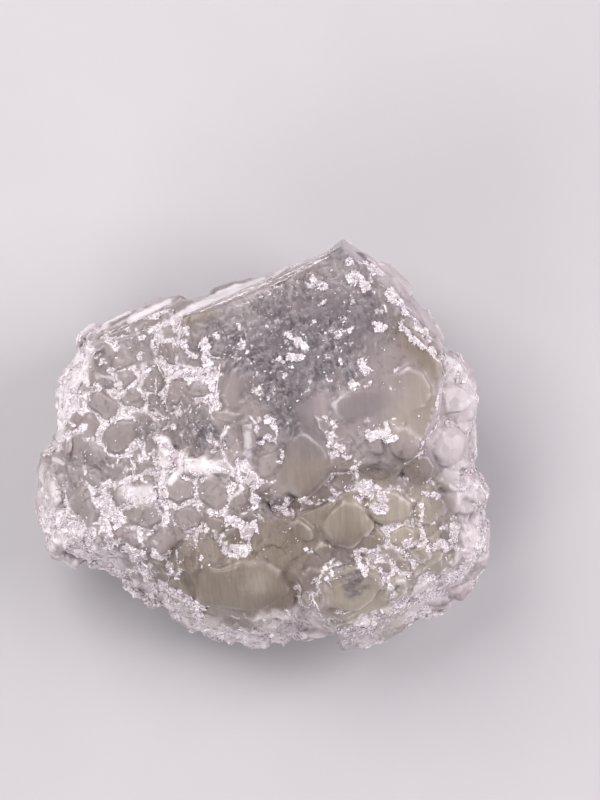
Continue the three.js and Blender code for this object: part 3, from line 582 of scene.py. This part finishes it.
crystal = new_object("sugar_fluorite", skin)
thinner = crystal.modifiers.new("thinner", "DECIMATE")
thinner.ratio = SKIN_TRIANGLES / (2 * len(skin.polygons))
graph = bpy.context.evaluated_depsgraph_get()
crystal.data = bpy.data.meshes.new_from_object(crystal.evaluated_get(graph))
crystal.modifiers.clear()
crystal.data.shade_smooth()
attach(crystal, "root")
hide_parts("fluorite_specimen")
crystal.data.calc_loop_triangles()
print("crystal:", len(crystal.data.loop_triangles), "triangles")

# %% [markdown]
# ## Colours and nodes
# Colours are picked as sRGB hex codes, the way a paint program shows them, and Blender's shaders
# want linear light, so one function converts them. A second one adds a node with its settings
# and links in one call, which keeps each material short enough to read.

# %% Helpers for materials
def linear(code):
    """An sRGB hex colour as linear red, green, blue and alpha."""
    parts = [int(code[i : i + 2], 16) / 255 for i in (1, 3, 5)]
    return [c / 12.92 if c <= 0.04045 else ((c + 0.055) / 1.055) ** 2.4 for c in parts] + [1]


def add(tree, kind, settings=None, **links):
    """Adds a node. Settings are its own properties, or input values by name or number; links are
    input names, with spaces as underscores, or _ and a number, to the sockets that feed them."""
    node = tree.nodes.new("ShaderNode" + kind)
    for name, value in (settings or {}).items():
        if isinstance(name, str) and hasattr(node, name):
            setattr(node, name, value)
        else:
            node.inputs[name].default_value = value
    for name, source in links.items():
        key = int(name[1:]) if name[0] == "_" else name.replace("_", " ")
        tree.links.new(source, node.inputs[key])
    return node


def two_tints(first, second):
    """The settings of a mix between two colours."""
    return {"data_type": "RGBA", 6: linear(first), 7: linear(second)}


def new_material(name):
    """An empty material and its node tree."""
    material = bpy.data.materials.new(name)
    material.use_nodes = True
    material.node_tree.nodes.clear()
    return material, material.node_tree


def per_metre(size_mm):
    """A texture's scale, for lumps of a size in millimetres on objects measured in metres."""
    return 1 / (size_mm * MM)


# %% [markdown]
# ## The crystal's material
# Fluorite is glassy, with a low refractive index, but these faces are frosted by growth, so light
# is let through softly and none of them mirrors a lamp sharply. Under the sugar the same crystal
# is nearly white, because its tiny facets scatter the light. The material is built up in the same
# order as the crystal: the tint of its zones, the veils and growth lines inside, the flakes of
# the etched face, the white crust, and last the facets that make it glint.

# %% Sizes and colours of frosted fluorite
FLUORITE_IOR = 1.434
FROST = {"To Min": 0.34, "To Max": 0.22}  # roughness of a growth face, and of fresh crust
CLEARNESS = {"To Min": 0.5, "To Max": 0.12}  # how much light goes through a face, and a crust
HAZE = {"Color": linear("#C7C1BE"), "Density": 45}  # what the crystal's depth swallows

CLOUD_TINTS = two_tints("#A89999", "#D3C5C7")
# The pale tint is partly the rims' own paler colour, partly painted glow and painted light.
ZONE_TINTS = {"olive": "#A29386", "straw": "#D7CABA", "violet": "#8D838A", "pale": "#EEE3E7"}
# Painted shade for clefts and painted highlight for edges and gleaming planes.
PAINTED_EDGE_LIGHT_AND_SHADE = {"painted_shade": "#6E646A", "painted_highlight": "#ECE5E9"}
FLAKE_TINTS = two_tints("#69626A", "#BBB1B6")
CRUST_TINTS = two_tints("#D4C9CE", "#F3EBEF")

CLOUD_SIZE = 4  # millimetres, as are the sizes below
WAVE_SIZE = 1.2
WAVE_PUSH = 0.8  # how far waves of that size bend the borders of cells
VEIL_SIZE = 0.6
VEIL_STRETCH = (1, 8, 8)  # veils in the crystal are this much longer along Y and Z than wide
VEIL_TURN = 0.1  # radians
GROWTH_LINE = 0.24
SUGAR_FACET = 0.26
ETCH_PIT = 0.42
RIM_FACET = 1.3
PAD_FACET = 2.6
ETCH_PATCH = 2.8
SPLINTERS = ((0.6, 26), (0.26, 112))  # widths in millimetres, headings in degrees


# %% Wavy places, cell shades and tints over a tint
def wavy_place(tree, place, size_mm, push_mm):
    """A place pushed about by waves, so that what is drawn there gets wavy borders."""
    waves = add(tree, "TexNoise", {"Scale": per_metre(size_mm)}, Vector=place).outputs["Color"]
    push = {"operation": "MULTIPLY_ADD", 1: (push_mm * MM,) * 3}
    return add(tree, "VectorMath", push, _0=waves, _2=place).outputs[0]


def cell_shade(tree, place, size_mm, channel):
    """A random shade for each cell of a pattern; each of its three channels has its own."""
    cells = add(tree, "TexVoronoi", {"Scale": per_metre(size_mm)}, Vector=place).outputs["Color"]
    return add(tree, "SeparateXYZ", Vector=cells).outputs[channel]


def painted(tree, tint, codes, mask):
    """A tint with other tints over it, each as far as the mask of its name says."""
    for name, code in codes.items():
        tint = add(tree, "Mix", {"data_type": "RGBA", 7: linear(code)}, _0=mask[name], _6=tint).outputs[2]
    return tint


# %% The zones' tints
def zone_tint(tree, place, mask):
    """Slow clouds between two greys, with the zones' own tints over them."""
    clouds = add(tree, "TexNoise", {"Scale": per_metre(CLOUD_SIZE), "Detail": 6}, Vector=place)
    tint = add(tree, "Mix", CLOUD_TINTS, _0=clouds.outputs["Fac"]).outputs[2]
    return painted(tree, tint, ZONE_TINTS, mask)


# %% [markdown]
# ### Veils, growth lines and painted light in the tint
# Inside a clear crystal hang thin veils, and fine lines mark how it grew. Modelled as surfaces
# inside the volume they would need thousands of pieces, so they are drawn in the tint: noise
# stretched along one direction. Cells paint some pads and rim facets lighter and others darker, as
# neighbouring faces of a crystal catch the light one by one: painted light and shade. Last come
# the painted highlights on edges and the painted shade in clefts.

# %% Lighter and darker tints
def veiled(tree, tint, place, wavy, mask):
    """A tint with veils, growth lines where olive, painted light and shade on pads and rim facets, and
    painted highlights and shade on edges.
    """
    stretch = {"vector_type": "TEXTURE", "Rotation": (0, 0, VEIL_TURN), "Scale": VEIL_STRETCH}
    drawn_out = add(tree, "Mapping", stretch, Vector=place).outputs[0]
    veil = add(tree, "TexNoise", {"Scale": per_metre(VEIL_SIZE), "Detail": 3}, Vector=drawn_out)
    clearer = {"From Min": 0.15, "From Max": 0.85}
    veil = add(tree, "MapRange", clearer, Value=veil.outputs["Fac"]).outputs[0]
    # Painted light and shade: each pad a random shade lighter or darker, none on the smooth places.
    pad_shade = cell_shade(tree, wavy, PAD_FACET, 2)
    pad_shade = add(tree, "Mix", {3: 0.5}, _0=mask["smooth"], _2=pad_shade).outputs[0]
    both = add(tree, "Math", {"operation": "ADD"}, _0=pad_shade, _1=veil).outputs[0]
    lit = add(tree, "MapRange", {"From Max": 2, "To Min": 0.8, "To Max": 1.2}, Value=both).outputs[0]
    tint = add(tree, "HueSaturation", Value=lit, Color=tint).outputs[0]

    fine = {"Scale": per_metre(GROWTH_LINE), "Detail": 2, "Distortion": 0.5}
    line = add(tree, "TexNoise", fine, Vector=drawn_out).outputs["Fac"]
    line_shade = {"From Min": 0.32, "From Max": 0.68, "To Min": 0.9, "To Max": 1.12}
    lined = add(tree, "MapRange", line_shade, Value=line).outputs[0]
    tint = add(tree, "HueSaturation", Value=lined, Fac=mask["olive"], Color=tint).outputs[0]

    # Painted light on rim facets where the tint is pale: each facet a random shade lighter or darker.
    rim_shade = cell_shade(tree, wavy, RIM_FACET, 1)
    rim_lit = add(tree, "MapRange", {"To Min": 0.84, "To Max": 1.12}, Value=rim_shade).outputs[0]
    tint = add(tree, "HueSaturation", Value=rim_lit, Fac=mask["pale"], Color=tint).outputs[0]
    # Last, the painted shade in clefts and the painted highlight on edges and gleaming planes.
    return painted(tree, tint, PAINTED_EDGE_LIGHT_AND_SHADE, mask)


# %% [markdown]
# ### Splinters
# The etched face and the crust look splintery: shards that overlap in two directions. Two cell
# patterns drawn out along different headings, each with wavy borders, give that. Their mean
# shades the etched flakes, and it also frays the edge of the white crust.

# %% Splinters, flakes and crust
def splinter_shade(tree, place):
    """The mean of the two splinter layers' random shades."""
    shades = []
    for size_mm, heading in SPLINTERS:
        bent = wavy_place(tree, place, size_mm, size_mm)
        turn = {"vector_type": "TEXTURE", "Rotation": (0, 0, math.radians(heading))}
        turned = add(tree, "Mapping", {**turn, "Scale": (FLAKE_LENGTH, 1, 1)}, Vector=bent).outputs[0]
        shades.append(cell_shade(tree, turned, size_mm, 0))
    return add(tree, "Mix", {0: 0.5}, _2=shades[0], _3=shades[1]).outputs[0]


def flaked(tree, tint, place, shards, mask):
    """A tint with the dark and light flakes of the etched face over it, in patches."""
    flake = add(tree, "MapRange", {"From Min": 0.2, "From Max": 0.85}, Value=shards).outputs[0]
    flakes = add(tree, "Mix", FLAKE_TINTS, _0=flake).outputs[2]
    patches = add(tree, "TexNoise", {"Scale": per_metre(ETCH_PATCH), "Detail": 4}, Vector=place)
    strength = {"From Min": 0.4, "From Max": 0.56, "To Min": 0.15, "To Max": 0.9}
    patchy = add(tree, "MapRange", strength, Value=patches.outputs["Fac"]).outputs[0]
    etch = add(tree, "Math", {"operation": "MULTIPLY"}, _0=mask["etched"], _1=patchy).outputs[0]
    return add(tree, "Mix", {"data_type": "RGBA"}, _0=etch, _6=tint, _7=flakes).outputs[2]


def crusted_over(tree, tint, shards, mask):
    """A tint with the white crust over it, and how fully the crust covers."""
    bright = add(tree, "MapRange", {"From Min": 0.1, "From Max": 0.6}, Value=shards).outputs[0]
    white = add(tree, "Mix", CRUST_TINTS, _0=bright).outputs[2]
    fray = {"operation": "MULTIPLY_ADD", 1: 0.5}
    ragged = add(tree, "Math", fray, _0=shards, _2=mask["sugar"]).outputs[0]
    crust = add(tree, "MapRange", {"From Min": 0.56, "From Max": 0.8}, Value=ragged).outputs[0]
    return add(tree, "Mix", {"data_type": "RGBA"}, _0=crust, _6=tint, _7=white).outputs[2], crust


# %% [markdown]
# ### Facets too fine for the mesh
# A plain bump makes a crust look like sand, because it rounds every grain. Here a cell texture
# tips the surface's direction by one random angle a cell, so each cell is a flat facet with its
# own glint: small and steep in the sugar, larger and gentler on rims and pads.

# %% Facets, and the whole material
def tipped(tree, direction, wavy, size_mm, amount):
    """A direction tipped at random in each cell, as far as the amount socket says."""
    cells = add(tree, "TexVoronoi", {"Scale": per_metre(size_mm)}, Vector=wavy).outputs["Color"]
    middle = add(tree, "VectorMath", {"operation": "SUBTRACT", 1: (0.5, 0.5, 0.5)}, _0=cells).outputs[0]
    push = add(tree, "VectorMath", {"operation": "SCALE"}, _0=middle, Scale=amount).outputs[0]
    return add(tree, "VectorMath", {"operation": "ADD"}, _0=direction, _1=push).outputs[0]


def frosted_fluorite():
    material, tree = new_material("frosted_clear_fluorite")
    place = add(tree, "TexCoord").outputs["Object"]
    mask = {name: add(tree, "Attribute", {"attribute_name": name}).outputs["Fac"] for name in masks}
    wavy = wavy_place(tree, place, WAVE_SIZE, WAVE_PUSH)

    shards = splinter_shade(tree, place)
    tint = zone_tint(tree, place, mask)
    tint = veiled(tree, tint, place, wavy, mask)
    tint = flaked(tree, tint, place, shards, mask)
    colour, crust = crusted_over(tree, tint, shards, mask)

    direction = add(tree, "NewGeometry").outputs["Normal"]
    plain = add(tree, "Math", {"operation": "MAXIMUM"}, _0=mask["smooth"], _1=crust).outputs[0]
    for size_mm, least, most, part in (  # how far facets are tipped where the part is 0 and 1
        (SUGAR_FACET, 0, 0.8, crust), (ETCH_PIT, 0.06, 0.5, mask["etched"]),
        (RIM_FACET, 0, 0.6, mask["pale"]), (PAD_FACET, 0.12, 0.02, plain),
    ):
        amount = add(tree, "MapRange", {"To Min": least, "To Max": most}, Value=part).outputs[0]
        direction = tipped(tree, direction, wavy, size_mm, amount)
    direction = add(tree, "VectorMath", {"operation": "NORMALIZE"}, _0=direction).outputs[0]

    opaque = crust
    for name in ("pale", "painted_highlight"):
        opaque = add(tree, "Math", {"operation": "MAXIMUM"}, _0=mask[name], _1=opaque).outputs[0]
    rough = add(tree, "MapRange", FROST, Value=crust).outputs[0]
    through = add(tree, "MapRange", CLEARNESS, Value=opaque).outputs[0]
    shader = add(
        tree, "BsdfPrincipled", {"IOR": FLUORITE_IOR},
        Base_Color=colour, Normal=direction, Roughness=rough, Transmission_Weight=through,
    )
    haze = add(tree, "VolumeAbsorption", HAZE)
    add(tree, "OutputMaterial", Surface=shader.outputs[0], Volume=haze.outputs[0])
    print(material.name, len(tree.nodes), "nodes")
    return material


crystal.data.materials.clear()
crystal.data.materials.append(frosted_fluorite())

# %% [markdown]
# ## The sugar's material
# A grain is as clear as its host, but light that enters a crust of thousands of grains leaves it
# as white. Following every such path takes very long, so each grain gets some of that white
# itself, by a number stored with it: many are opaque, and the clearest let through nearly a third
# of the light. Its faces are fresh growth, smoother than the pads, so the crust sparkles.

# %% Sugar material
GRAIN_TINTS = two_tints("#E8DFE4", "#D0C6CB")  # of the whitest grains and of the clearest
GRAIN_GLOSS = 0.16  # roughness
GRAIN_CLEARNESS = {"From Min": 0.4, "To Max": 0.3}  # grains under the first let nothing through


def fluorite_sugar():
    material, tree = new_material("fluorite_sugar")
    clear = add(tree, "Attribute", {"attribute_name": "clearness"}).outputs["Fac"]
    tint = add(tree, "Mix", GRAIN_TINTS, _0=clear).outputs[2]
    through = add(tree, "MapRange", GRAIN_CLEARNESS, Value=clear).outputs[0]
    shader = add(
        tree, "BsdfPrincipled", {"IOR": FLUORITE_IOR, "Roughness": GRAIN_GLOSS},
        Base_Color=tint, Transmission_Weight=through,
    )
    add(tree, "OutputMaterial", Surface=shader.outputs[0])
    print(material.name, len(tree.nodes), "nodes")
    return material


sugar_material = fluorite_sugar()

# %% [markdown]
# ## Sugar, grain by grain
# Each grain of the crust is a small fluorite crystal of its own: a splinter or a flat chip, sunk
# in the skin and turned almost the way its host is. Particles and instances would be lighter to
# store, but an exported model loses them, so the grains are joined meshes built from arrays.
# Small grains cover the crust wherever the mask is strong; a few large chips stand in it.

# %% Build joined grains
CUBE_CORNERS = np.array([[x, y, z] for x in (-1, 1) for y in (-1, 1) for z in (-1, 1)]) / 2
CUBE_FACES = np.array([
    [0, 1, 3, 2], [4, 6, 7, 5], [0, 4, 5, 1], [2, 3, 7, 6], [0, 2, 6, 4], [1, 5, 7, 3],
])
SHARD_SHAPE = ((0.8, 0.5, 0.25), (2.2, 1.3, 0.7))  # least and most length, width and thickness
SHARD_LEAN = 0.05  # how much the grains' heading climbs
rng = np.random.default_rng(41)


def unit(vectors):
    """The same directions, each 1 long."""
    return vectors / np.linalg.norm(vectors, axis=1, keepdims=True)


def grains(name, middles, ups, headings, sizes, stray):
    """Makes one joined mesh of boxes. Each has a middle, a way up, a heading and three sides;
    stray is how far, in radians, their directions scatter."""
    up = unit(ups + rng.normal(0, stray, ups.shape))
    across = unit(np.cross(up, headings + rng.normal(0, stray, ups.shape)))
    ahead = np.cross(across, up)
    axes = np.stack([ahead, across, up], axis=1)
    corners = np.einsum("ki,ni,nij->nkj", CUBE_CORNERS, sizes, axes) + middles[:, None, :]
    corners = corners[((corners >= BOX_LOW) & (corners <= BOX_HIGH)).all(axis=(1, 2))]
    faces = CUBE_FACES[None] + 8 * np.arange(len(corners))[:, None, None]
    mesh = bpy.data.meshes.new(name)
    mesh.from_pydata(corners.reshape(-1, 3).tolist(), [], faces.reshape(-1, 4).tolist())
    clearness = np.repeat(rng.random(len(corners)), 8).astype(np.float32)
    mesh.attributes.new("clearness", "FLOAT", "POINT").data.foreach_set("value", clearness)
    mesh.materials.append(sugar_material)
    piece = new_object(name, mesh)
    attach(piece, "root")
    print(name, len(corners), "boxes")


def sow(name, weight, count, sides, skew, stray, sunk):
    """Sows grains over the skin, thickest where the weight is high. A skew over 1 makes most of
    them small, and sunk is how far their middles lie off the skin, in shares of their side."""
    chosen = rng.choice(len(grown), count, p=weight / weight.sum())
    side = MM * (sides[0] + (sides[1] - sides[0]) * rng.random(count) ** skew)
    sizes = side[:, None] * rng.uniform(*SHARD_SHAPE, (count, 3))
    jitter = rng.uniform(-0.5, 0.5, (count, 3)) * SKIN_STEP
    lift = side * rng.uniform(sunk[0], sunk[1], count)
    middles = grown[chosen] + jitter + normals[chosen] * lift[:, None]
    headings = np.tile([math.cos(CRYSTAL_TURN), math.sin(CRYSTAL_TURN), SHARD_LEAN], (count, 1))
    grains(name, middles, normals[chosen], headings, sizes, stray)


# %% Sow the grains
GRAINS = 15500  # in each of the three meshes, of which some fall outside the box and are left out
FINE_SIDES = (0.09, 0.32)  # millimetres
CHIPS = 600
CHIP_SIDES = (0.3, 0.65)
SPECKS = 1800
SPECK_SIDES = (0.07, 0.2)
SUGAR_FROM = 0.4  # grains grow where the mask of all the sugar is over this
CHIPS_FROM = 0.6  # chips stand where the mask of the thick crusts is over this
THICKENING = 1.1  # a power over 1 gathers the grains where the crust is thickest

upper = ramp(normals[:, 2], 0.1, 0.3)
left_side = points[:, 0] < 0
weight = np.maximum(sugar - SUGAR_FROM, 0) ** THICKENING
for name, part in (
    ("sugar_on_left_faces", upper * left_side),
    ("sugar_on_right_faces", upper * ~left_side),
    ("sugar_on_flanks", 1 - upper),
):
    sow(name, weight * part, GRAINS, FINE_SIDES, skew=2.0, stray=0.3, sunk=(-0.25, 0.0))
standing = np.maximum(thick - CHIPS_FROM, 0)
sow("sugar_chips", standing, CHIPS, CHIP_SIDES, skew=2.0, stray=0.15, sunk=(-0.15, 0.0))
loose = upper * (1.05 - bare) * broad**3
sow("stray_sugar_specks", loose, SPECKS, SPECK_SIDES, skew=1.6, stray=0.5, sunk=(-0.1, 0.1))

# %% [markdown]
# ## Threads of light
# Some edges catch the light as a thin white line: growth steps along the ridge, the rims of a
# few pads, and cleavage cracks near the lower edge. The edges, steps and cracks are real; their
# white line is a painted highlight, made of white laths. A mask on the skin is too coarse for a
# line of a tenth of a millimetre, so each line is a chain of slender laths, dropped onto the skin
# along a path by casting a ray from above.

# %% The threads' paths
THREADS = [  # the half width in millimetres, then the path's points from above
    [0.08, 0.2, 19, 5, 21.6, 8.4, 23.4], [0.07, -8.6, 15.3, -5, 16.9, -1, 18.3],
    [0.05, -6.8, 15.6, -2, 17.6, 3, 19.8, 7.6, 22.2], [0.05, 1.4, 18.6, 4.6, 20.2, 7.8, 21.8],
    [0.05, -17.4, 13.4, -13.4, 15, -10.4, 16], [0.06, -6.2, 11, -6.1, 8.1],
    [0.06, -12.2, 9.9, -11.3, 8.1], [0.06, -17.1, 7.7, -16.3, 6.4], [0.06, -12.1, 8.1, -12.1, 6],
    [0.06, 15.8, 14.2, 18, 12.2, 20.6, 9.6, 21.2, 8],
    [0.07, -4.2, 2.2, -4.6, 0.4, -4.1, -1.7, -3.1, -2.6], [0.08, -4.7, 9.4, -5, 7, -5.5, 4.2],
    [0.12, 21, 8.4, 20.1, 4.8, 20.4, 2.8, 18.3, 0.2], [0.09, 3, -19, 4.2, -20.9],
    [0.07, 3.7, -19, 4.5, -20.4], [0.09, 5.9, -16.9, 6.3, -18.3],
    [0.06, 6.4, -18.4, 7, -19.8, 7.6, -21.4], [0.05, 5.2, -18.9, 6.2, -17.6],
    [0.08, 25, 2.1, 25.2, 1.2, 25.1, -0.6, 24.7, -2.1], [0.07, 22.8, 10, 24.6, 7.4, 25.2, 5.2, 25, 3.2],
    [0.07, 24.4, -3.8, 25.8, -4.8, 26.3, -5.9, 26, -7.6],
]
print("threads:", len(THREADS))

# %% Lay the threads
LATH_STEP = 0.28  # millimetres from one lath to the next
LATH_STRAY = 0.05  # millimetres off the path
LATH_LENGTH = (1.2, 2.2)  # in steps, so that laths overlap
LATH_WIDTH = (1.2, 2.6)  # in half widths
LATH_TURN = 0.08  # radians off the path's heading
RAY_START = 1  # metre, well over the specimen

surface = BVHTree.FromPolygons(grown.tolist(), [tuple(face.vertices) for face in skin.polygons])


def lath_path(half_width, *coordinates):
    """Middles, normals, headings and sizes of the laths along a path, dropped on the skin."""
    corners = np.array(coordinates).reshape(-1, 2)
    rows = []
    for start, end in zip(corners[:-1], corners[1:]):
        length = np.linalg.norm(end - start)
        heading = (end - start) / length
        for share in np.arange(0, 1, LATH_STEP / length):
            x, y = start + (end - start) * share + rng.normal(0, LATH_STRAY, 2)
            above = Vector((x * MM, y * MM, RAY_START))
            point, normal, _, _ = surface.ray_cast(above, Vector((0, 0, -1)))
            if point is None:
                continue
            width = half_width * rng.uniform(*LATH_WIDTH)
            length_mm = LATH_STEP * rng.uniform(*LATH_LENGTH)
            rows.append([*point, *normal, *heading, 0, length_mm, width, width])
    return rows


laths = np.array([row for thread in THREADS for row in lath_path(*thread)])
middles, ups, headings, sizes = np.split(laths, [3, 6, 9], axis=1)
# Laths of white sugar material: painted highlight lines along edges, steps and cracks.
grains("highlight_line_laths", middles, ups, headings, sizes * MM, LATH_TURN)

# %% [markdown]
# ## Floor and light
# The floor is plain pale paper, a little darker than the sugar so that the crust stays the
# brightest thing. Clear and frosted things show their form by light from the sides, so three
# large soft lamps stand around the specimen, and a dim studio fills in from everywhere.

# %% Floor
FLOOR_SIDE = 1.6  # metres
PAPER_TINTS = two_tints("#B4B1B5", "#BAB7BB")
PAPER_CLOUD = 16  # millimetres
PAPER_DULLNESS = 0.8  # roughness: paper has no gloss


def pale_paper():
    material, tree = new_material("pale_paper")
    place = add(tree, "TexCoord").outputs["Object"]
    cloud = add(tree, "TexNoise", {"Scale": per_metre(PAPER_CLOUD), "Detail": 4}, Vector=place)
    shade = add(tree, "Mix", PAPER_TINTS, _0=cloud.outputs["Fac"]).outputs[2]
    dull = add(tree, "BsdfPrincipled", {"Roughness": PAPER_DULLNESS}, Base_Color=shade)
    add(tree, "OutputMaterial", Surface=dull.outputs[0])
    return material


floor_mesh = bpy.data.meshes.new("floor")
half = FLOOR_SIDE / 2
floor_mesh.from_pydata(
    [(-half, -half, 0), (half, -half, 0), (half, half, 0), (-half, half, 0)], [], [(0, 1, 2, 3)]
)
floor = new_object("floor", floor_mesh)
floor_mesh.materials.append(pale_paper())
print("floor:", FLOOR_SIDE, "m square")

# %% Lights
LAMPS = [  # heading and height in degrees, distance and side in metres, watts, colour
    ["upper_left", 130, 48, 0.6, 0.4, 3.2, "#FFFDFB"],
    ["right", 15, 38, 0.6, 0.4, 3.3, "#FFFBFE"],
    ["lower_left", 235, 35, 0.6, 0.4, 1.9, "#FFFDFC"],
]
STUDIO_LIGHT = 0.25


def softbox(name, heading, height, distance, side, watts, colour):
    """A square lamp that faces the specimen."""
    light = bpy.data.lights.new(name, "AREA")
    light.shape = "SQUARE"
    light.size = side
    light.energy = watts
    light.color = linear(colour)[:3]
    lamp = new_object(name, light)
    turn, rise = math.radians(heading), math.radians(height)
    away = Vector((math.cos(turn) * math.cos(rise), math.sin(turn) * math.cos(rise), math.sin(rise)))
    lamp.location = away * distance
    lamp.rotation_euler = away.to_track_quat("Z", "Y").to_euler()
    print(name, [round(value, 2) for value in lamp.location])


for lamp in LAMPS:
    softbox(*lamp)
world = bpy.data.worlds.new("studio")
world.use_nodes = True
backdrop = world.node_tree.nodes["Background"]
backdrop.inputs["Color"].default_value = linear("#F0EEF2")
backdrop.inputs["Strength"].default_value = STUDIO_LIGHT
bpy.context.scene.world = world
bpy.context.scene.view_settings.view_transform = "Standard"
